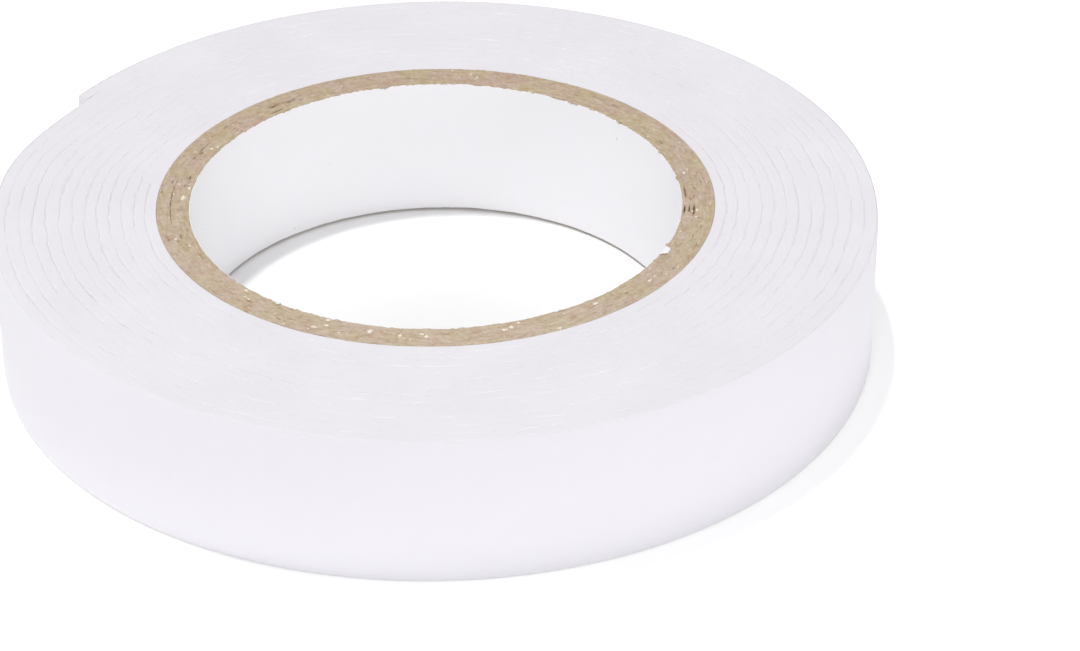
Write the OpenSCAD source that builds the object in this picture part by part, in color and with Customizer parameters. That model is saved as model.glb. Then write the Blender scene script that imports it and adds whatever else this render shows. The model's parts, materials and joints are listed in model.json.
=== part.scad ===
// Roll of double-sided foam tape on a paper core, lying flat on its side, in millimetres.
// The core's axis is Z, the roll's lower side is Z = 0, and azimuths run from +X towards +Y.
// The tape is one strip of four layers: inner adhesive, foam, outer adhesive and release liner.
// Its last lengths are hinged at the liner, the layer that doesn't stretch, so that the end peels away.

/* [Core] */
// Diameter of the bore, which fits a hub or a spindle
bore_d = 76.2; // [55:0.1:100]
// Thickness of the white paper that lines the bore
bore_paper_t = 0.14; // [0.08:0.01:0.4]
// Kraft plies in the core's wall
core_plies = 5; // [3:1:8]
// Thickness of one kraft ply
ply_t = 0.98; // [0.5:0.02:1.2]
// Glue line between two plies
glue_t = 0.02; // [0.01:0.01:0.05]

/* [Tape] */
// Width of the tape, which is also the core's length and the roll's height
tape_w = 24; // [10:0.5:60]
// Thickness of the foam in the outermost turn, where it is wound loosest
foam_t = 1.7; // [1:0.02:3]
// How much thinner the foam is squeezed in the first turn, on the core
foam_squeeze = 0.33; // [0:0.01:0.5]
// Thickness of the adhesive on each face of the foam
adhesive_t = 0.1; // [0.08:0.01:0.2]
// Thickness of the release liner
liner_t = 0.12; // [0.1:0.01:0.25]
// Air between one turn's liner and the turn wound over it
turn_gap = 0.1; // [0.1:0.01:0.3]

/* [Winding] */
// Full turns of tape on the core
full_turns = 12; // [4:1:20]
// Azimuth at which the tape starts on the core
start_az = 172; // [0:1:359]
// Angle by which the free end passes the start's azimuth
end_lead = 336; // [96:12:336]
// Flat chords in one turn
chords = 30; // [18:1:32]
// Chords over which each turn climbs onto the turn below, just before the start's azimuth
climb_chords = 2; // [1:1:6]
// Air between the core and the middle of a first chord
core_gap = 0.05; // [0.02:0.01:0.3]

/* [Free end] */
// Hinged lengths of the free end, each one chord long
end_lengths = 5; // [1:1:6]
// Hinged lengths of liner that peel off the last length of tape
tabs = 3; // [1:1:3]
// Length of one of those lengths of liner
tab_l = 3.5; // [1:0.1:4.5]

/* [Hidden] */
$fn = 96;
LAYERS = ["inner_adhesive", "foam", "outer_adhesive", "liner"];
COLOURS = ["#e6e2d8", "#f1eff4", "#e6e2d8", "#f7f6f9"];
FOAM = 1;
LINER = 3;

core_r = bore_d / 2 + bore_paper_t + core_plies * (glue_t + ply_t);
chord_az = 360 / chords;
first_r = (core_r + core_gap) / cos(chord_az / 2);
between_foam = 2 * adhesive_t + liner_t + turn_gap;
first_pitch = foam_t - foam_squeeze + between_foam;
pitch_growth = foam_squeeze / full_turns;

// Stations are the chords' corners, counted along the tape from its start
end_station = full_turns * chords + round(end_lead / chord_az);
root_station = end_station - end_lengths;

// Radius at which a tape lies that has so many turns under it
function level_r(level) = first_r + first_pitch * level + pitch_growth * level * (level - 1) / 2;

function eased(x) = x * x * (3 - 2 * x);

// Turns that lie under the tape at a station
function level(station) =
    let (chords_to_start = chords - station % chords)
    floor(station / chords) + eased(max(0, 1 - chords_to_start / climb_chords));

// Radius of a face at a station: face 0 is the innermost, and layer n lies between faces n and n + 1.
// The first turn stays on the core up to the tape's start, and its foam swells as it climbs there
function face_r(station, face) =
    let (inside = level_r(station < chords ? 0 : level(station)))
    let (outside = level_r(level(station) + 1) - turn_gap)
    [inside, inside + adhesive_t, outside - liner_t - adhesive_t, outside - liner_t, outside][face];

function corner(station, face) =
    let (az = start_az + station * chord_az)
    face_r(station, face) * [cos(az), sin(az)];

// Point on a face at any place along the tape, on the chord between two stations
function on_chord(place, face) =
    let (station = min(floor(place), end_station - 1))
    let (share = place - station)
    (1 - share) * corner(station, face) + share * corner(station + 1, face);

// Outline of one layer over many chords, and over a part of one chord
function spiral(first, last, layer) = concat(
    [for (station = [first : last]) corner(station, layer)],
    [for (station = [last : -1 : first]) corner(station, layer + 1)]
);

function bar(first, last, layer) = [
    on_chord(first, layer),
    on_chord(last, layer),
    on_chord(last, layer + 1),
    on_chord(first, layer + 1)
];

// Places along the last chord where the liner's hinged lengths begin and end
last_chord_l = norm(corner(end_station, LINER + 1) - corner(end_station - 1, LINER + 1));
function tab_end(tab) = end_station - (tabs - tab) * tab_l / last_chord_l;

// Least gap of each wound layer to itself, from the corners of one turn to the chords of the next
function to_chord(p, a, b) =
    let (share = (p - a) * (b - a) / ((b - a) * (b - a)))
    norm(p - a - min(1, max(0, share)) * (b - a));

function gap_at(station, layer) = min([
    for (next = [station + chords - 1, station + chords])
        to_chord(corner(station, layer + 1), corner(next, layer), corner(next + 1, layer))
]);

least_gap = min([
    for (layer = [0 : LINER])
        for (station = [0 : root_station - chords - 1])
            gap_at(station, layer)
]);
echo(least_gap_of_the_winding_to_itself_mm = least_gap);

tape_l = [
    for (station = [0 : end_station - 1])
        norm(on_chord(station + 1, FOAM) - on_chord(station, FOAM))
] * [for (station = [0 : end_station - 1]) 1];
echo(length_of_tape_on_the_roll_mm = tape_l);

function ply_name(ply) = str("core_ply_", ply);
function wound_name(layer) = str("wound_", LAYERS[layer]);
function end_name(length, layer) = str("end_", length, "_", LAYERS[layer]);
function tab_name(tab) = str("liner_tab_", tab);

module tube(inner_r, wall) {
    linear_extrude(tape_w)
        difference() {
            circle(inner_r + wall);
            circle(inner_r);
        }
}

module strip(outline) {
    linear_extrude(tape_w)
        polygon(outline);
}

// White paper, the innermost ply of the core
module core_bore_paper() {
    color("#f2f1f4")
        tube(bore_d / 2, bore_paper_t);
}

// One kraft ply of the core, counted from the bore outwards
module core_ply(ply) {
    inner_r = bore_d / 2 + bore_paper_t + glue_t + (ply - 1) * (ply_t + glue_t);
    color("#c2a67e")
        tube(inner_r, ply_t);
}

// One layer of the tape, from its start on the core to the root of the free end
module wound(layer) {
    color(COLOURS[layer])
        strip(spiral(0, root_station, layer));
}

// One layer of one hinged length of the free end. The last length's liner stops where the tabs begin
module end_length(length, layer) {
    last = root_station + length;
    cut_for_tabs = layer == LINER && length == end_lengths;
    color(COLOURS[layer])
        strip(bar(last - 1, cut_for_tabs ? tab_end(0) : last, layer));
}

// One hinged length of liner on the last length of the tape
module liner_tab(tab) {
    color(COLOURS[LINER])
        strip(bar(tab_end(tab - 1), tab_end(tab), LINER));
}

core_bore_paper();
for (ply = [1 : core_plies])
    core_ply(ply);
for (layer = [0 : LINER])
    wound(layer);
for (length = [1 : end_lengths])
    for (layer = [0 : LINER])
        end_length(length, layer);
for (tab = [1 : tabs])
    liner_tab(tab);
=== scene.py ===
"""Looks of a roll of double-sided foam tape on a kraft core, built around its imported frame.

Lengths are in millimetres up to the point where a mesh is made. A place along the tape is counted in turns
from its start on the core. Azimuths are in degrees from +X towards +Y.
"""
import json
import math

import bpy
import numpy as np
from mathutils import Matrix, Vector, noise


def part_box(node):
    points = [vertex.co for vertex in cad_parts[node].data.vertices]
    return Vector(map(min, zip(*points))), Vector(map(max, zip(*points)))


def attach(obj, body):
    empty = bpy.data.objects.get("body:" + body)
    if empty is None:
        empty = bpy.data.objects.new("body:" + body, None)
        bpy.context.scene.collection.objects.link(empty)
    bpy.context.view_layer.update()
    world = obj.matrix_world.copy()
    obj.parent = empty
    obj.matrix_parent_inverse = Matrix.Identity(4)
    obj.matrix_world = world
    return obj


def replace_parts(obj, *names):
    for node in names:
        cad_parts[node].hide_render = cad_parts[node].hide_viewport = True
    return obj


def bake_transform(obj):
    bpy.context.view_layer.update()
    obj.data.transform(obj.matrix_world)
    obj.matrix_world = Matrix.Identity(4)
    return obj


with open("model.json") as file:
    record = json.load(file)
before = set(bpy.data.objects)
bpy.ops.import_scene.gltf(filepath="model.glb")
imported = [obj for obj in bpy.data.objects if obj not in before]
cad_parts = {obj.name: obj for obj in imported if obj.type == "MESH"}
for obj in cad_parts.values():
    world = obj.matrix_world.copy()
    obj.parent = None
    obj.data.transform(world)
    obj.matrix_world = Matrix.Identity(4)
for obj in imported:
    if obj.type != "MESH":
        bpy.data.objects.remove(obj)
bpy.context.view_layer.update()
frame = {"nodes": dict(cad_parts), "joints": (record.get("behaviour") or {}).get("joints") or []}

MM = 0.001

# The tape and its winding, as the frame has them
FOAM_T = 1.7
FOAM_SQUEEZE = 0.33
BETWEEN_FOAM = 0.42
FULL_TURNS = 12
START_AZ = 172
END_LEAD = 336
CLIMB_AZ = 24

# The foam swells over the thin layers at the strip's edges, so less of them shows than lies further in
EDGE_ADHESIVE = 0.02
EDGE_LINER = 0.09
EDGE_AIR = 0.015

# Air between the core and the first turn, and how much closer a round turn lies than the frame's chords
SEAT_GAP = 0.03
ROUNDER = 0.015

# Azimuth between two sections of the tape, the share of such a step that a strip's length may be over a whole
# number of them, and the azimuth of the step where the first turn meets the tape's start
STEP_AZ = 0.75
STEP_SLACK = 0.001
START_STEP_AZ = 0.03

# How far after the last hinge the liner's loose end begins, and how far past that the last length's own liner
# ends
STUB_REACH = 3.0
STUB_SPARE = 0.1


def node_radii(name):
    """Least and greatest distance of a CAD node from the roll's axis."""
    spots = [math.hypot(v.co.x, v.co.y) for v in frame["nodes"][name].data.vertices]
    return min(spots) / MM, max(spots) / MM


PLIES = sum(name.startswith("core_ply_") for name in frame["nodes"])
BORE_R = node_radii("core_bore_paper")[0]
CORE_R = node_radii(f"core_ply_{PLIES}")[1]
TAPE_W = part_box("wound_foam")[1].z / MM

FIRST_PITCH = FOAM_T - FOAM_SQUEEZE + BETWEEN_FOAM - ROUNDER
PITCH_GROWTH = FOAM_SQUEEZE / FULL_TURNS
LAST_PLACE = FULL_TURNS + END_LEAD / 360


def eased(x):
    x = np.clip(x, 0, 1)
    return x * x * (3 - 2 * x)


def wave(spots, length, seed):
    """Smooth noise, mostly within -0.7 to 0.7, along a line, with bumps about that length apart."""
    return np.array([noise.noise(Vector((spot / length, seed * 3.17, seed + 0.37))) for spot in spots])


# Winding: radii of the strip's faces

def turns_below(place):
    """Turns that lie under the tape. Each turn climbs onto the one below just before the start's azimuth."""
    return np.floor(place) + eased(1 - (1 - place % 1) * 360 / CLIMB_AZ)


def level_radius(level):
    return CORE_R + SEAT_GAP + FIRST_PITCH * level + PITCH_GROWTH * level * (level - 1) / 2


def arc_length(place):
    return 2 * math.pi * (CORE_R * place + (FOAM_T + BETWEEN_FOAM) * place ** 2 / 2)


# Irregularities, worked out once on a grid that runs a little over a turn past the tape's end
GRID_PAST = 1.01
GRID = np.arange(0, LAST_PLACE + GRID_PAST, STEP_AZ / 360)
ARC = arc_length(GRID)

# Turns over which the strip's outer face comes to be the roll's outside, and its inner face to lie on a turn
EXPOSED_OVER = 1 / 60
COVERED_OVER = 1 / 12


def exposed(place):
    """From 0 to 1, whether the strip's outer face is the outside of the roll."""
    return eased((place - LAST_PLACE + 1) / EXPOSED_OVER + 0.5)


def waves(rows):
    """Sum of smooth noises along the tape. Each row is a height, the length of a bump and a seed."""
    return sum(height * wave(ARC, length, seed) for height, length, seed in rows)


# The strip's inner face wanders where it lies between turns, and is smooth on the core and along the free end
SMOOTH_END = 0.18
SMOOTH = exposed(GRID - 1 + SMOOTH_END)
COVERED = eased((GRID - 1) / COVERED_OVER) * (1 - SMOOTH)
WOBBLE = COVERED * waves([(0.10, 13, 1), (0.16, 4.5, 2), (0.20, 1.9, 3)]) + SMOOTH * waves([(0.05, 40, 4)])

# Heights of the strip's upper and lower edges, at its inner and its outer face
TOP_INNER = waves([(0.03, 30, 5), (0.02, 6, 6), (0.015, 2.4, 7)])
TOP_OUTER = waves([(0.03, 30, 5), (0.02, 6, 8), (0.015, 2.4, 9)])
LOW_INNER = waves([(0.07, 6, 10)])
LOW_OUTER = waves([(0.07, 6, 11)])

# From 0 to 1, how wide the groove over the strip's outer face is. The roll is a little squeezed from front
# to back, so its turns lie looser at the right and left, most so a little in front of them. Each groove comes
# and goes, and short dents lie all round
AROUND = np.radians(START_AZ + 360 * GRID)
AT_SIDES = np.abs(np.cos(AROUND)) ** 8
MORE_AT_RIGHT = 0.78 + 0.18 * np.cos(AROUND)
MORE_IN_FRONT = 1 - 0.7 * np.sin(AROUND)
LOOSE = 0.04 + AT_SIDES * MORE_AT_RIGHT * MORE_IN_FRONT
COMES_AND_GOES = 1 + waves([(1.1, 9, 12), (0.9, 2.5, 13)])
DENTS = 0.45 * eased((wave(ARC, 3, 14) - 0.2) / 0.25)
OPENNESS = np.clip(LOOSE * COMES_AND_GOES + DENTS, 0, 1)


def at(values, place):
    return np.interp(place, GRID, values)


def strip_faces(place):
    """Radii of the strip's faces, from under the inner adhesive to the outside of the liner."""
    below = turns_below(place)
    inside = level_radius(np.where(place < 1, 0, below)) + at(WOBBLE, place)
    outside = level_radius(below + 1) + at(WOBBLE, place + 1) - EDGE_AIR
    foam_outside = outside - EDGE_LINER - EDGE_ADHESIVE
    return inside, inside + EDGE_ADHESIVE, foam_outside, outside - EDGE_LINER, outside


# Winding: sections of the layers, each a list of (radius, height) anticlockwise from its lower inner corner

TOP_MARGIN = 0.17
LOW_MARGIN = 0.06
CROWN = 0.012

# The foam's edges swell over the liner's until they all but meet, and slope down to the line where they do
BULGE_DEPTH = 0.30
HAIRLINE = 0.003
LEAST_SLOPE = 0.02
OPEN_SLOPE = 0.28
STEEPNESS = 0.75
ROUND_SHARE = 0.45
FOAM_TO_FOAM = 2 * EDGE_ADHESIVE + EDGE_LINER + EDGE_AIR
BULGE = (FOAM_TO_FOAM - HAIRLINE) / 2

# The outermost turn leans in at its edges
SHOWN_ROUNDING = 0.12
LEAN = 0.14
LEAN_DEPTH = 1.0


def foam_section(place):
    inner, outer = strip_faces(place)[1:3]
    shown = exposed(place)
    on_core = place < 1
    wide_in = LEAST_SLOPE + OPEN_SLOPE * np.where(on_core, 0, at(OPENNESS, place - 1))
    wide_out = (LEAST_SLOPE + OPEN_SLOPE * at(OPENNESS, place)) * (1 - shown) + SHOWN_ROUNDING * shown
    drop_in = wide_in * STEEPNESS
    drop_out = wide_out * (STEEPNESS * (1 - shown) + shown)
    edge_in = inner - np.where(on_core, 0, BULGE)
    edge_out = outer + BULGE * (1 - shown) - LEAN * shown
    depth = BULGE_DEPTH + (LEAN_DEPTH - BULGE_DEPTH) * shown
    top_in = TAPE_W - TOP_MARGIN + at(TOP_INNER, place)
    top_out = TAPE_W - TOP_MARGIN + at(TOP_OUTER, place)
    low_in = LOW_MARGIN + at(LOW_INNER, place)
    low_out = LOW_MARGIN + at(LOW_OUTER, place)
    return [
        (inner, low_in + BULGE_DEPTH),
        (edge_in, low_in + drop_in),
        (edge_in + wide_in, low_in),
        (edge_out - wide_out, low_out),
        (edge_out, low_out + drop_out),
        (outer, low_out + depth),
        (outer, top_out - depth),
        (edge_out, top_out - drop_out),
        (edge_out - wide_out * ROUND_SHARE, top_out - drop_out * ROUND_SHARE),
        (edge_out - wide_out, top_out),
        ((inner + outer) / 2, (top_in + top_out) / 2 + CROWN),
        (edge_in + wide_in, top_in),
        (edge_in + wide_in * ROUND_SHARE, top_in - drop_in * ROUND_SHARE),
        (edge_in, top_in - drop_in),
        (inner, top_in - BULGE_DEPTH),
    ]


# How far the thin layers' edges lie below the foam's, under its swollen edges and on the outermost turn
LINER_RECESS = 0.33
LINER_SHOWN_RECESS = 0.06
ADHESIVE_RECESS = 0.04


def thin_recess(place):
    shown = exposed(place)
    return LINER_RECESS * (1 - shown) + LINER_SHOWN_RECESS * shown


def thin_section(place, face, recess, lean, top_edge, low_edge):
    """Section of the thin layer between that face of the strip and the next, leaning in at its edges."""
    inner, outer = strip_faces(place)[face:face + 2]
    top = TAPE_W - TOP_MARGIN + at(top_edge, place) - recess
    low = LOW_MARGIN + at(low_edge, place) + recess
    return [
        (inner - lean, low),
        (outer - lean, low),
        (outer, low + LEAN_DEPTH),
        (outer, top - LEAN_DEPTH),
        (outer - lean, top),
        (inner - lean, top),
        (inner, top - LEAN_DEPTH),
        (inner, low + LEAN_DEPTH),
    ]


def inner_adhesive_section(place):
    return thin_section(place, 0, LINER_RECESS, 0, TOP_INNER, LOW_INNER)


def outer_adhesive_section(place):
    recess = thin_recess(place) + ADHESIVE_RECESS
    return thin_section(place, 2, recess, LEAN * exposed(place), TOP_OUTER, LOW_OUTER)


def liner_section(place):
    return thin_section(place, 3, thin_recess(place), LEAN * exposed(place), TOP_OUTER, LOW_OUTER)


# Meshes

SHARP_ANGLE = math.radians(20)


def sweep(azimuth, section, looped=False):
    """Points and faces of a closed solid whose section follows a list of azimuths round the roll's axis."""
    count = len(azimuth)
    corners = len(section)
    radius = np.array([np.broadcast_to(r, count) for r, z in section]).T
    height = np.array([np.broadcast_to(z, count) for r, z in section]).T
    angle = np.radians(azimuth)[:, None]
    points = np.stack([radius * np.cos(angle), radius * np.sin(angle), height], axis=2).reshape(-1, 3)
    here = np.arange(count if looped else count - 1)[:, None] * corners
    ahead = (here + corners) % (count * corners)
    corner = np.arange(corners)[None, :]
    beside = (corner + 1) % corners
    quads = np.stack([here + corner, ahead + corner, ahead + beside, here + beside], axis=2)
    faces = quads.reshape(-1, 4).tolist()
    if not looped:
        faces.append(list(range(corners)))
        faces.append(list(range(count * corners - 1, (count - 1) * corners - 1, -1)))
    return points, faces


def make_piece(name, points, faces, material, slot, **attributes):
    mesh = bpy.data.meshes.new(name)
    mesh.from_pydata((np.asarray(points) * MM).tolist(), [], faces)
    mesh.polygons.foreach_set("use_smooth", np.ones(len(mesh.polygons), dtype=bool))
    mesh.set_sharp_from_angle(angle=SHARP_ANGLE)
    mesh.materials.append(material)
    for key, values in attributes.items():
        mesh.attributes.new(key, "FLOAT", "POINT").data.foreach_set("value", values)
    piece = bpy.data.objects.new(name, mesh)
    bpy.context.scene.collection.objects.link(piece)
    return piece


# Materials

class Graph:
    """A material's nodes. A value that is a socket is linked, and any other is set."""

    def __init__(self, name):
        self.material = bpy.data.materials.new(name)
        self.material.use_nodes = True
        self.tree = self.material.node_tree
        self.tree.nodes.clear()

    def add(self, kind, inputs, output=0, **settings):
        node = self.tree.nodes.new(kind)
        for key, value in settings.items():
            setattr(node, key, value)
        for key, value in inputs.items():
            if isinstance(value, bpy.types.NodeSocket):
                self.tree.links.new(value, node.inputs[key])
            else:
                node.inputs[key].default_value = value
        return node.outputs[output]

    def place(self):
        return self.add("ShaderNodeTexCoord", {}, "Object")

    def maths(self, operation, a, b=0.0):
        return self.add("ShaderNodeMath", {0: a, 1: b}, operation=operation)

    def noise(self, vector, size, detail=3.0, rough=0.5):
        """Cloudy noise from 0 to 1 with features of about that size in millimetres."""
        scale = 1 / (size * MM)
        return self.add("ShaderNodeTexNoise",
                        {"Vector": vector, "Scale": scale, "Detail": detail, "Roughness": rough})

    def cells(self, vector, size):
        """Distance to the nearest of many scattered points, which lie about that many millimetres apart."""
        return self.add("ShaderNodeTexVoronoi", {"Vector": vector, "Scale": 1 / (size * MM)}, "Distance")

    def spread(self, value, low, high, to_low=0.0, to_high=1.0):
        """The value mapped from one range to another, and held at its ends."""
        return self.add("ShaderNodeMapRange", {
            "Value": value, "From Min": low, "From Max": high, "To Min": to_low, "To Max": to_high})

    def mix(self, share, a, b):
        return self.add("ShaderNodeMix", {0: share, 6: a, 7: b}, 2, data_type="RGBA")

    def bump(self, height, depth, strength):
        return self.add("ShaderNodeBump", {"Height": height, "Distance": depth * MM, "Strength": strength})

    def finish(self, **inputs):
        named = {key.replace("_", " ").title().replace("Ior", "IOR"): value for key, value in inputs.items()}
        return self.surface(self.add("ShaderNodeBsdfPrincipled", named))

    def surface(self, shader):
        output = self.tree.nodes.new("ShaderNodeOutputMaterial")
        self.tree.links.new(shader, output.inputs["Surface"])
        return self.material


def shade(red, green, blue):
    """A colour given as it looks, from 0 to 255, in the linear values that sockets take."""
    parts = [c / 255 for c in (red, green, blue)]
    return (*[c / 12.92 if c <= 0.04045 else ((c + 0.055) / 1.055) ** 2.4 for c in parts], 1.0)


def foam_material():
    g = Graph("foam")
    place = g.place()
    clouds = g.noise(place, 14, detail=2)
    grain = g.noise(place, 0.45, detail=4, rough=0.6)
    pores = g.spread(g.cells(place, 0.32), 0.0, 0.35, 1.0, 0.0)
    colour = g.mix(g.spread(clouds, 0.35, 0.65), shade(239, 236, 242), shade(242, 240, 245))
    colour = g.mix(g.spread(grain, 0.3, 0.75, 0.0, 0.35), colour, shade(245, 244, 247))
    colour = g.mix(g.maths("MULTIPLY", pores, 0.16), colour, shade(214, 210, 219))
    height = g.maths("SUBTRACT", grain, g.maths("MULTIPLY", pores, 0.6))
    return g.finish(base_color=colour, roughness=0.85, specular_ior_level=0.25,
                    normal=g.bump(height, 0.05, 0.6))


def liner_material():
    g = Graph("liner")
    place = g.place()
    clouds = g.noise(place, 3.5, detail=3)
    fibres = g.noise(place, 0.25, detail=3, rough=0.65)
    colour = g.mix(g.spread(clouds, 0.3, 0.7), shade(241, 239, 245), shade(242, 240, 246))
    rough = g.spread(clouds, 0.3, 0.7, 0.46, 0.54)
    return g.finish(base_color=colour, roughness=rough, specular_ior_level=0.4,
                    normal=g.bump(fibres, 0.012, 0.5))


def adhesive_material():
    g = Graph("adhesive")
    place = g.place()
    bubbles = g.spread(g.cells(place, 0.9), 0.1, 0.5, 1.0, 0.0)
    streaks = g.noise(place, 2.5, detail=2)
    colour = g.mix(streaks, shade(229, 226, 220), shade(236, 234, 231))
    rough = g.spread(bubbles, 0.0, 1.0, 0.3, 0.42)
    return g.finish(base_color=colour, roughness=rough, specular_ior_level=0.5,
                    normal=g.bump(bubbles, 0.012, 0.3))


def round_place(g):
    """The place, and coordinates that follow the core: X and Y on its outer circle, radius and height."""
    place = g.place()
    parts = g.tree.nodes.new("ShaderNodeSeparateXYZ")
    g.tree.links.new(place, parts.inputs[0])
    x, y, z = parts.outputs
    radius = g.maths("SQRT", g.maths("ADD", g.maths("MULTIPLY", x, x), g.maths("MULTIPLY", y, y)))
    round_x = g.maths("MULTIPLY", g.maths("DIVIDE", x, radius), CORE_R * MM)
    round_y = g.maths("MULTIPLY", g.maths("DIVIDE", y, radius), CORE_R * MM)
    return place, (round_x, round_y, radius, z)


def kraft_material():
    g = Graph("kraft")
    place, (round_x, round_y, radius, z) = round_place(g)
    # Fibres lie along the plies, so they are drawn out round the core and fine across it
    across = g.maths("ADD", g.maths("MULTIPLY", radius, 5.0), g.maths("MULTIPLY", z, 2.0))
    fibre_place = g.add("ShaderNodeCombineXYZ", {0: round_x, 1: round_y, 2: across})
    tones = g.noise(place, 4.5, detail=2)
    patches = g.noise(place, 1.3, detail=2)
    fibres = g.noise(fibre_place, 2.0, detail=4, rough=0.6)
    grain = g.noise(place, 0.55, detail=3, rough=0.6)
    colour = g.mix(g.spread(tones, 0.42, 0.58), shade(195, 178, 145), shade(197, 173, 157))
    # Painted light: the cut end is made lighter towards the front of the roll, where the front fill falls
    colour = g.mix(g.spread(round_y, -CORE_R * MM, CORE_R * MM, 0.45, 0.0), colour, shade(216, 199, 180))
    colour = g.mix(g.spread(patches, 0.52, 0.68, 0.0, 0.5), colour, shade(186, 157, 125))
    colour = g.mix(g.spread(patches, 0.48, 0.32, 0.0, 0.5), colour, shade(208, 194, 172))
    colour = g.mix(g.spread(fibres, 0.5, 0.75, 0.0, 0.55), colour, shade(168, 146, 120))
    colour = g.mix(g.spread(fibres, 0.5, 0.25, 0.0, 0.55), colour, shade(222, 207, 187))
    colour = g.mix(g.spread(grain, 0.54, 0.74, 0.0, 0.35), colour, shade(156, 132, 104))
    colour = g.mix(g.spread(grain, 0.46, 0.26, 0.0, 0.42), colour, shade(230, 215, 194))
    # Painted shade: darker in pits, and down in the crevices of the cut end
    pits = g.spread(g.noise(fibre_place, 0.9, detail=2), 0.68, 0.75)
    depth = g.add("ShaderNodeAttribute", {}, "Fac", attribute_name="crevice_depth")
    painted_shade = g.maths("MAXIMUM", pits, g.spread(depth, 0.12, 0.36))
    colour = g.mix(g.maths("MULTIPLY", painted_shade, 0.7), colour, shade(104, 80, 60))
    height = g.maths("SUBTRACT", fibres, pits)
    return g.finish(base_color=colour, roughness=0.9, specular_ior_level=0.2,
                    normal=g.bump(height, 0.06, 0.6))


def flake_material():
    g = Graph("torn_paper")
    place = g.place()
    clouds = g.noise(place, 0.5, detail=3)
    colour = g.mix(g.spread(clouds, 0.3, 0.7), shade(242, 226, 208), shade(254, 246, 236))
    return g.finish(base_color=colour, roughness=0.85, specular_ior_level=0.2,
                    normal=g.bump(g.noise(place, 0.15), 0.02, 0.5))


def bore_paper_material():
    g = Graph("bore_paper")
    place = g.place()
    clouds = g.noise(place, 6, detail=3)
    fibres = g.noise(place, 0.3, detail=3, rough=0.65)
    specks = g.spread(g.cells(place, 6.5), 0.02, 0.035, 1.0, 0.0)
    colour = g.mix(g.spread(clouds, 0.3, 0.7), shade(252, 251, 253), shade(253, 252, 255))
    colour = g.mix(g.maths("MULTIPLY", specks, 0.5), colour, shade(190, 180, 165))
    return g.finish(base_color=colour, roughness=0.6, specular_ior_level=0.3,
                    normal=g.bump(fibres, 0.015, 0.5))


FOAM = foam_material()
LINER = liner_material()
ADHESIVE = adhesive_material()
KRAFT = kraft_material()
FLAKE = flake_material()
BORE_PAPER = bore_paper_material()


# Core: kraft plies with a rough cut end, the white paper that lines the bore, and flaps, tufts and flakes

# Azimuths of the core's sections, and points across the cut end of one ply
PLY_AZ = np.arange(0, 360, 0.25)
CUT_POINTS = 13

# How far the cut end's mean plane lies below the frame's, the highest that anything on the core reaches, and
# how far below the frame's plane, and at least below the cut end, the plies widen to meet each other
CUT_DROP = 0.17
HIGHEST = TAPE_W - 0.01
SIDE_DROP = 0.6
LEAST_SIDE_DROP = 0.05

# How high the core's lower end is off the floor, and the chamfer of a ply's lower edges
CORE_LIFT = 0.4
FOOT_UP = 0.15
FOOT_ACROSS = 0.1

# How far the bore paper's upper edge lies below the cut end, and how far its corners lie from its edges. The
# upper corner at the back is closer
PAPER_DROP = 0.03
PAPER_CORNER = 0.05
PAPER_BACK_CORNER = 0.04

# Roughness of the cut end, each a height, lengths of bump along and across the plies and a seed: long waves,
# drawn-out fibres and grain
CUT_ROUGHNESS = [(0.08, 6, 3, 1), (0.09, 1.8, 0.35, 2), (0.06, 0.5, 0.4, 3)]

# Crevices in the cut end: radius, middle azimuth, half the azimuth that it spans, width and depth
CREVICES = [
    (41.09, 181, 14, 0.055, 0.28),
    (40.75, 155, 4.5, 0.10, 0.23),
    (40.75, 159.3, 0.8, 0.15, 0.50),
    (39.35, 168, 1.0, 0.10, 0.50),
    (40.85, 129.5, 1.6, 0.12, 0.60),
    (40.6, 125.5, 2.6, 0.10, 0.55),
    (39.0, 130.5, 2.5, 0.10, 0.50),
    (40.3, 95, 4, 0.10, 0.30),
    (40.45, 3, 0.8, 0.12, 0.40),
    (38.8, 2, 3.5, 0.12, 0.45),
    (40.05, 353.5, 3.6, 0.10, 0.60),
    (39.33, 354, 2.4, 0.08, 0.45),
    (38.6, 353.5, 2.2, 0.10, 0.55),
    (40.5, 314, 0.8, 0.20, 0.45),
    (39.5, 311, 0.6, 0.10, 0.40),
    (43.2, 262, 0.7, 0.12, 0.45),
    (41.8, 251, 0.6, 0.10, 0.40),
    (41.0, 250, 0.6, 0.10, 0.40),
    (41.85, 236, 0.7, 0.12, 0.40),
    (40.6, 226.5, 1.5, 0.10, 0.40),
]

# Small crevices scattered over the cut end, and the ranges of their radius, half span, width and depth
SMALL_CREVICES = 150
CREVICE_SEED = 23
CREVICE_RADII = (BORE_R + 0.4, CORE_R - 0.2)
CREVICE_HALVES = (0.4, 1.6)
CREVICE_WIDTHS = (0.07, 0.12)
CREVICE_DEPTHS = (0.08, 0.34)

# Flaps of bore paper that are torn and folded out over the inner edge, each an azimuth, a width and a reach,
# and the depth of the hollow under each and the azimuth over which its ends slope
FLAPS = [(333.4, 2.5, 1.0), (232, 0.8, 0.5)]
HOLLOW_DEPTH = 0.15
HOLLOW_END_AZ = 0.5

# A stretch of the inner edge that is torn, and the share of its depth to which the rest is frayed
TORN_AZ = 347.5
TORN_HALF = 10
TORN_DEPTH = 0.5
TORN_REACH = 0.45
FRAYED = 0.4


def from_az(azimuth, middle):
    """Signed difference of azimuths, from -180 to 180."""
    return (azimuth - middle + 180) % 360 - 180


def small_crevices():
    draw = np.random.default_rng(CREVICE_SEED)
    return [
        (draw.uniform(*CREVICE_RADII), draw.uniform(0, 360), draw.uniform(*CREVICE_HALVES),
         draw.uniform(*CREVICE_WIDTHS), draw.uniform(*CREVICE_DEPTHS))
        for _ in range(SMALL_CREVICES)
    ]


ALL_CREVICES = CREVICES + small_crevices()


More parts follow.
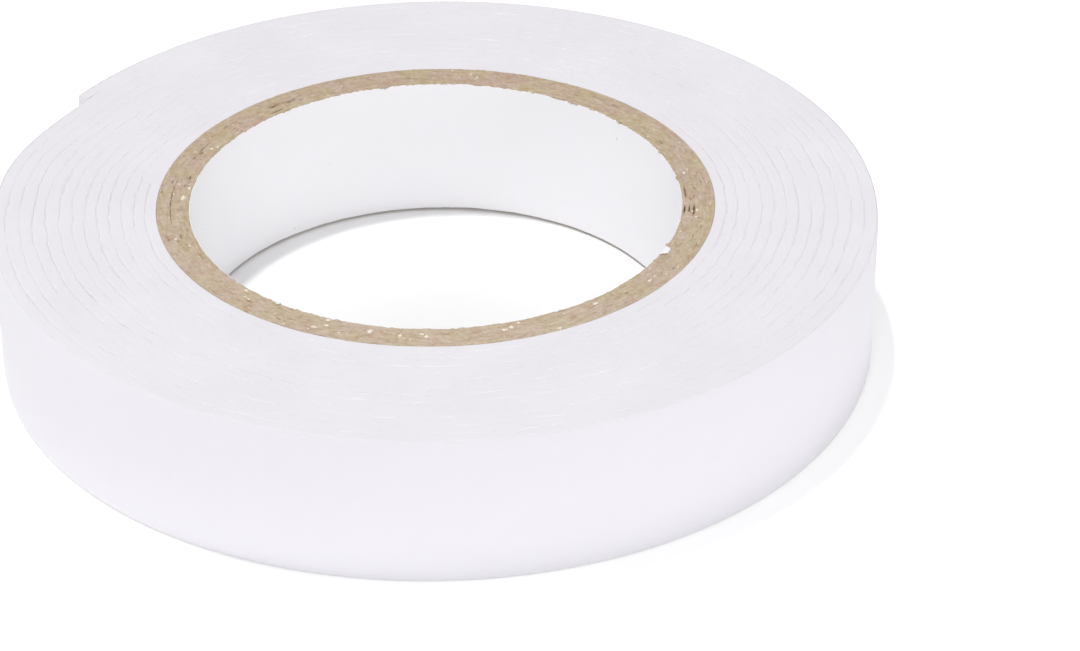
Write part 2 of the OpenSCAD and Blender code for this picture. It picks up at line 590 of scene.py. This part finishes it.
def round_noise(radius, along, across, seed):
    """Smooth noise on a circle of that radius, with bumps of those lengths along it and across it."""
    angle = np.radians(PLY_AZ)
    x = CORE_R * np.cos(angle) / along
    y = CORE_R * np.sin(angle) / along
    z = np.full(len(PLY_AZ), radius / across + seed * 7.31)
    return np.array([noise.noise(Vector(spot)) for spot in zip(x, y, z)])


def crevice_depth(radius):
    ragged = 0.9 + 0.7 * round_noise(radius, 0.7, 2, 10)
    depth = np.zeros(len(PLY_AZ))
    for middle_r, middle, half, width, deepest in ALL_CREVICES:
        along = np.clip(1 - (from_az(PLY_AZ, middle) / half) ** 2, 0, None)
        depth += deepest * along * math.exp(-((radius - middle_r) / width) ** 2)
    return depth * ragged


def cut_height(radius):
    """Height of the cut end, with its crevices, from its mean plane."""
    rough = sum(height * round_noise(radius, *bumps) for height, *bumps in CUT_ROUGHNESS)
    return rough - crevice_depth(radius)


def hollows():
    halves = [(middle, math.degrees(width / 2 / BORE_R)) for middle, width, _ in FLAPS]
    return HOLLOW_DEPTH * sum(eased((half - np.abs(from_az(PLY_AZ, middle))) / HOLLOW_END_AZ + 0.5)
                              for middle, half in halves)


def torn(radius):
    """How deep the edge is torn and frayed: deepest at the bore, and ragged."""
    share = np.clip(1 - (from_az(PLY_AZ, TORN_AZ) / TORN_HALF) ** 4, FRAYED, None)
    ragged = 0.6 + 0.9 * round_noise(radius, 0.7, 1, 4) + 0.5 * round_noise(radius, 1.9, 1, 5)
    inward = eased(1 - (radius - BORE_R) / TORN_REACH)
    return TORN_DEPTH * share * np.clip(ragged, 0, None) * inward


def ply_section(number):
    """Section of one ply, and how deep in a crevice each of its points is.

    At the cut end a ply meets its neighbours in the middle of the glue lines.
    """
    inner, outer = node_radii(f"core_ply_{number}")
    glue = inner - node_radii(f"core_ply_{number - 1}" if number > 1 else "core_bore_paper")[1]
    radii = np.linspace(outer + (glue / 2 if number < PLIES else 0), inner - glue / 2, CUT_POINTS)
    tops = [TAPE_W - CUT_DROP + cut_height(radius) for radius in radii]
    if number == 1:
        tops = [top - hollows() - torn(radius) for top, radius in zip(tops, radii)]
    tops = [np.minimum(top, HIGHEST) for top in tops]
    low = CORE_LIFT + 0.10 * round_noise(inner, 1.6, 0.5, 6)
    outside = [
        (inner, low + FOOT_UP),
        (inner + FOOT_ACROSS, low),
        (outer - FOOT_ACROSS, low),
        (outer, low + FOOT_UP),
        (outer, np.minimum(TAPE_W - SIDE_DROP, tops[0] - LEAST_SIDE_DROP)),
    ]
    inside = [(inner, np.minimum(TAPE_W - SIDE_DROP, tops[-1] - LEAST_SIDE_DROP))]
    none = np.zeros(len(PLY_AZ))
    depths = [none] * len(outside) + [crevice_depth(radius) for radius in radii] + [none] * len(inside)
    return [*outside, *zip(radii, tops), *inside], np.array(depths).T.ravel()


def bore_paper_section():
    inner, outer = node_radii("core_bore_paper")
    middle = (inner + outer) / 2
    ragged = 0.08 * round_noise(inner, 2.2, 1, 7) + 0.05 * round_noise(inner, 0.7, 1, 8)
    top = np.minimum(TAPE_W - CUT_DROP - PAPER_DROP + ragged, HIGHEST) - torn(inner)
    low = CORE_LIFT + 0.08 * round_noise(inner, 2.2, 1, 9)
    return [
        (inner, low + PAPER_CORNER),
        (middle, low),
        (outer, low + PAPER_CORNER),
        (outer, top - PAPER_BACK_CORNER),
        (middle, top),
        (inner, top - PAPER_CORNER),
    ]


def build_core():
    for number in range(1, PLIES + 1):
        section, depths = ply_section(number)
        piece = make_piece(f"kraft_ply_{number}", *sweep(PLY_AZ, section, True), KRAFT, "kraft",
                           crevice_depth=depths)
        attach(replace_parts(piece, f"core_ply_{number}"), "roll")
    lining = make_piece("bore_lining", *sweep(PLY_AZ, bore_paper_section(), True), BORE_PAPER, "bore_paper")
    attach(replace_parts(lining, "core_bore_paper"), "roll")


def join(parts):
    """Points and faces of several closed solids, as one mesh."""
    points, faces = [], []
    for made, corners in parts:
        first = len(points)
        points.extend(made.tolist())
        faces.extend([[first + corner for corner in face] for face in corners])
    return points, faces


FLAP_POINTS = 19
FLAP_T = 0.08
FLAP_ROOT_DEPTH = 0.8


def flap_section(shape, reach):
    """Section of one flap: rooted in the bore paper, and folded out over the edge. shape is its outline."""
    root = BORE_R + 0.03
    top = HIGHEST - 0.01
    end = BORE_R + 0.2 + reach * shape
    lie = top - 0.05
    return [
        (root, top - FLAP_ROOT_DEPTH),
        (root + FLAP_T, top - FLAP_ROOT_DEPTH),
        (root + FLAP_T, top - 0.16),
        (root + 0.16, top - 0.02 - FLAP_T),
        (end, lie - FLAP_T),
        (end + 0.02, lie - FLAP_T / 2),
        (end, lie),
        (root + 0.13, top),
        (root + 0.02, top - 0.07),
    ]


def build_flaps():
    share = np.linspace(-1, 1, FLAP_POINTS)
    flaps = []
    for azimuth, width, reach in FLAPS:
        ragged = np.clip(0.9 + 0.6 * wave(share * width, 0.4, azimuth), 0.5, 1.05)
        shape = np.clip(2 * (1 + share), 0, 1) * np.clip(6 * (1 - share), 0, 1) * ragged
        flaps.append(sweep(azimuth + share * math.degrees(width / 2 / BORE_R), flap_section(shape, reach)))
    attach(make_piece("bore_paper_flaps", *join(flaps), BORE_PAPER, "bore_paper"), "roll")


# Tufts of kraft fibre that the cut has pushed over the edge of the bore paper: azimuth, width and reach down
TUFTS = [
    (102.4, 1.7, 0.42),
    (53.7, 2.2, 0.40),
    (57.3, 0.9, 0.20),
    (92, 1.1, 0.10),
    (128, 0.8, 0.10),
    (149, 0.6, 0.08),
    (39, 0.9, 0.10),
    (21, 0.7, 0.12),
    (8, 0.6, 0.14),
    (336.2, 0.7, 0.16),
]
TUFT_POINTS = 15


def tuft_section(shape, reach):
    """Section of one tuft: rooted in the cut end, and bent over the edge. shape is its outline."""
    root = BORE_R + 0.55
    top = HIGHEST - 0.04
    lip = BORE_R - 0.03 - 0.10 * shape
    tip = top - 0.10 - reach * shape
    return [
        (root, top - 0.34),
        (root, top - 0.26),
        (BORE_R + 0.15, top - 0.03),
        (BORE_R, top),
        (lip, top - 0.06),
        (lip - 0.02, tip),
        (lip + 0.04, tip - 0.03),
        (BORE_R - 0.02, top - 0.12),
        (BORE_R + 0.12, top - 0.16),
    ]


def build_tufts():
    share = np.linspace(-1, 1, TUFT_POINTS)
    tufts = []
    for azimuth, width, reach in TUFTS:
        ragged = 0.8 + 0.9 * wave(share * width, 0.35, azimuth)
        shape = np.sqrt(np.clip(1 - share ** 2, 0, None)) * np.clip(ragged, 0.15, 1.2)
        tufts.append(sweep(azimuth + share * math.degrees(width / 2 / BORE_R), tuft_section(shape, reach)))
    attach(make_piece("core_tufts", *join(tufts), KRAFT, "kraft"), "roll")


# Flakes of pale paper caught in the cut end: azimuth, radius, length round the core and width across it
FLAKES = [
    (177.5, 39.3, 1.7, 0.85),
    (173, 38.7, 0.9, 0.5),
    (185, 40.0, 0.5, 0.35),
    (195.5, 41.2, 0.7, 0.5),
    (199, 39.7, 0.7, 0.4),
    (223, 38.9, 0.7, 0.5),
    (244, 41.4, 1.1, 0.6),
    (245.5, 38.9, 0.7, 0.7),
    (246, 40.3, 0.8, 0.6),
    (255.5, 40.0, 0.9, 1.1),
    (262, 40.5, 0.6, 1.0),
    (266.5, 39.9, 0.7, 0.7),
    (267.5, 40.5, 0.7, 0.9),
    (284, 40.2, 0.9, 0.8),
    (285.5, 39.7, 0.9, 1.0),
    (287.5, 38.9, 0.5, 0.6),
    (294.5, 42.8, 0.8, 0.9),
    (298, 39.3, 0.9, 0.7),
    (306, 39.6, 0.9, 0.8),
    (321, 40.8, 0.8, 0.6),
    (353, 40.5, 0.7, 0.4),
    (10, 39.6, 0.8, 0.45),
    (29.5, 39.0, 0.9, 0.5),
    (154, 39.5, 0.8, 0.5),
    (152.5, 38.9, 0.7, 0.4),
]
FLAKE_POINTS = 9
FLAKE_RISE = 0.07

# Small flakes scattered over the cut end, and the ranges of their radius, length and width
SMALL_FLAKES = 45
FLAKE_SEED = 31
FLAKE_RADII = (BORE_R + 0.5, CORE_R - 0.5)
FLAKE_LENGTHS = (0.2, 0.5)
FLAKE_WIDTHS = (0.2, 0.4)


def small_flakes():
    draw = np.random.default_rng(FLAKE_SEED)
    return [
        (draw.uniform(0, 360), draw.uniform(*FLAKE_RADII), draw.uniform(*FLAKE_LENGTHS),
         draw.uniform(*FLAKE_WIDTHS))
        for _ in range(SMALL_FLAKES)
    ]


def flake_section(shape, radius, width, surface):
    """Section of one flake, which lies half sunk in the cut end. shape is its outline, from 0 to 1."""
    half = width / 2 * shape
    rise = FLAKE_RISE * shape
    return [
        (radius - 0.4 * half, surface - rise),
        (radius + 0.4 * half, surface - rise),
        (radius + half, surface),
        (radius + 0.5 * half, surface + 0.8 * rise),
        (radius - 0.3 * half, surface + rise),
        (radius - half, surface + 0.2 * rise),
    ]


def build_flakes():
    share = np.linspace(-1, 1, FLAKE_POINTS)
    flakes = []
    for azimuth, radius, length, width in FLAKES + small_flakes():
        surface = np.interp(azimuth, PLY_AZ, TAPE_W - CUT_DROP + cut_height(radius))
        surface = min(surface, HIGHEST - FLAKE_RISE)
        ragged = np.clip(0.9 + wave(share * length, 0.3, azimuth), 0.4, 1)
        shape = np.sqrt(np.clip(1.02 - share ** 2, 0, None)) * ragged
        flakes.append(sweep(azimuth + share * math.degrees(length / 2 / radius),
                            flake_section(shape, radius, width, surface)))
    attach(make_piece("core_flakes", *join(flakes), FLAKE, "kraft"), "roll")


# Tape: each layer is one strip up to the free end, which is cut at the middle of each hinged length

LAYERS = [
    ("inner_adhesive", inner_adhesive_section, ADHESIVE, "adhesive"),
    ("foam", foam_section, FOAM, "foam"),
    ("outer_adhesive", outer_adhesive_section, ADHESIVE, "adhesive"),
    ("liner", liner_section, LINER, "liner"),
]
TAPE_JOINTS = [joint for joint in frame["joints"] if joint["child"].startswith("tape_end_")]
TAB_JOINTS = [joint for joint in frame["joints"] if joint["child"].startswith("liner_tab_")]


def hinge_place(joint):
    x, y, _ = joint["pos_m"]
    return FULL_TURNS + (math.degrees(math.atan2(y, x)) - START_AZ) % 360 / 360


def along_tape(length):
    """A length along the outermost turn, in turns."""
    return length / (2 * math.pi * level_radius(FULL_TURNS + 1))


def strip(name, first, last, section, material, slot):
    steps = math.ceil((last - first) * 360 / STEP_AZ - STEP_SLACK)
    place = np.linspace(first, last, steps + 1)
    if first < 1 < last:
        place = np.sort(np.append(place, 1 - START_STEP_AZ / 360))
    return make_piece(name, *sweep(START_AZ + 360 * place, section(place)), material, slot)


def bend(piece):
    """Bakes the piece's placement into its mesh."""
    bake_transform(piece)


def build_tape():
    hinges = [hinge_place(joint) for joint in TAPE_JOINTS]
    half = (hinges[1] - hinges[0]) / 2
    cuts = [hinge - half for hinge in hinges] + [LAST_PLACE]
    tab_hinges = [hinge_place(joint) for joint in TAB_JOINTS]
    stub_end = hinges[-1] + along_tape(STUB_REACH + STUB_SPARE)
    tab_cuts = [stub_end] + [(a + b) / 2 for a, b in zip(tab_hinges, tab_hinges[1:])] + [LAST_PLACE]
    for layer, section, material, slot in LAYERS:
        winding = strip(f"{layer}_winding", 0, cuts[0], section, material, slot)
        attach(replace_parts(winding, f"wound_{layer}"), "roll")
        for number, joint in enumerate(TAPE_JOINTS, 1):
            last_liner = layer == "liner" and number == len(TAPE_JOINTS)
            end = stub_end if last_liner else cuts[number]
            piece = strip(f"{layer}_end_{number}", cuts[number - 1], end, section, material, slot)
            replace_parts(piece, f"end_{number}_{layer}")
            bend(piece)
    for number, joint in enumerate(TAB_JOINTS, 1):
        first, last = tab_cuts[number - 1:number + 1]
        piece = strip(f"liner_peel_{number}", first, last, liner_section, LINER, "liner")
        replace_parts(piece, joint["child"])
        bend(piece)


build_core()
build_flaps()
build_tufts()
build_flakes()
build_tape()


# Stage: a white floor, a soft sky, a key light overhead, three fills round the front, and the camera

# The floor's side in metres, how far below the roll it lies, and its lift within the core and outside it
FLOOR_SIZE = 4.0
FLOOR_DROP = 0.02
INNER_GLOW = 0.03
OUTER_GLOW = 0.29


def floor_material():
    """White paper. Seen straight, it is lifted so that it shows as white, with a trace of the roll's shadow.

    Less so within the core, which throws light on it. This is painted light: the stronger lift outside the
    core washes out most of the roll's shadow there, and the weaker one within keeps the shadow in the core
    darker.
    """
    g = Graph("floor")
    rays = g.tree.nodes.new("ShaderNodeLightPath").outputs
    seen = g.maths("MAXIMUM", rays["Is Camera Ray"], rays["Is Glossy Ray"])
    paper = g.add("ShaderNodeBsdfDiffuse", {"Color": shade(254, 254, 254)})
    away = g.add("ShaderNodeVectorMath", {0: g.place()}, "Value", operation="LENGTH")
    # Painted light: lifted more outside the core than within it, which washes out most of the roll's shadow
    # outside
    lift = g.spread(away, BORE_R * MM, CORE_R * MM, INNER_GLOW, OUTER_GLOW)
    glow = g.add("ShaderNodeEmission", {"Strength": g.maths("MULTIPLY", seen, lift)})
    return g.surface(g.add("ShaderNodeAddShader", {0: paper, 1: glow}))


def build_floor():
    mesh = bpy.data.meshes.new("floor")
    half = FLOOR_SIZE / 2
    down = -FLOOR_DROP * MM
    mesh.from_pydata([(-half, -half, down), (half, -half, down), (half, half, down), (-half, half, down)], [],
                     [(0, 1, 2, 3)])
    mesh.materials.append(floor_material())
    floor = bpy.data.objects.new("floor", mesh)
    bpy.context.scene.collection.objects.link(floor)


def build_light(name, place, size, power):
    data = bpy.data.lights.new(name, "AREA")
    data.shape = "DISK"
    data.size = size
    data.energy = power
    lamp = bpy.data.objects.new(name, data)
    lamp.location = place
    lamp.rotation_mode = "QUATERNION"
    lamp.rotation_quaternion = (-Vector(place)).to_track_quat("-Z", "Y")
    bpy.context.scene.collection.objects.link(lamp)


# Strength of the sky, and each light's place and size in metres and its power in watts
SKY = 0.31
KEY = (Vector((-0.341, 0.239, 2.364)), 0.2, 25.9)
FRONT_FILL = (Vector((0.0, -1.14, 0.61)), 0.8, 3.5)
LEFT_FILL = (Vector((-1.1, -0.5, 0.25)), 1.0, 3.9)
RIGHT_FILL = (Vector((1.1, -0.5, 0.25)), 1.0, 4.7)


def build_lights():
    world = bpy.data.worlds.new("sky")
    world.use_nodes = True
    world.node_tree.nodes["Background"].inputs["Color"].default_value = (1, 1, 1, 1)
    world.node_tree.nodes["Background"].inputs["Strength"].default_value = SKY
    bpy.context.scene.world = world
    build_light("key", *KEY)
    build_light("front_fill", *FRONT_FILL)
    build_light("left_fill", *LEFT_FILL)
    build_light("right_fill", *RIGHT_FILL)


# The camera: the picture's width and the lens in pixels, its distance from the roll's centre and, in radians,
# how steeply it looks down and its small turns off that centre
PICTURE_W = 1080
FOCAL_PX = 3615.56
CAMERA_DIST = 573.8
CAMERA_ELEV = 0.5541
CAMERA_YAW = 0.0281
CAMERA_TILT = 0.0005
CAMERA_ROLL = -0.0190


def turned(a, b, angle):
    """The pair of directions turned in their own plane."""
    return a * math.cos(angle) + b * math.sin(angle), b * math.cos(angle) - a * math.sin(angle)


def build_camera():
    position = Vector((0, -math.cos(CAMERA_ELEV), math.sin(CAMERA_ELEV))) * CAMERA_DIST * MM
    right = Vector((1, 0, 0))
    ahead = -position.normalized()
    up = right.cross(ahead)
    ahead, right = turned(ahead, right, CAMERA_YAW)
    ahead, up = turned(ahead, up, CAMERA_TILT)
    right, up = turned(right, up, CAMERA_ROLL)
    data = bpy.data.cameras.new("camera")
    data.sensor_fit = "HORIZONTAL"
    data.lens = FOCAL_PX / PICTURE_W * data.sensor_width
    camera = bpy.data.objects.new("camera", data)
    camera.matrix_world = Matrix.Translation(position) @ Matrix((right, up, -ahead)).transposed().to_4x4()
    bpy.context.scene.collection.objects.link(camera)
    bpy.context.scene.camera = camera


build_floor()
build_lights()
build_camera()
bpy.context.scene.view_settings.view_transform = "Standard"
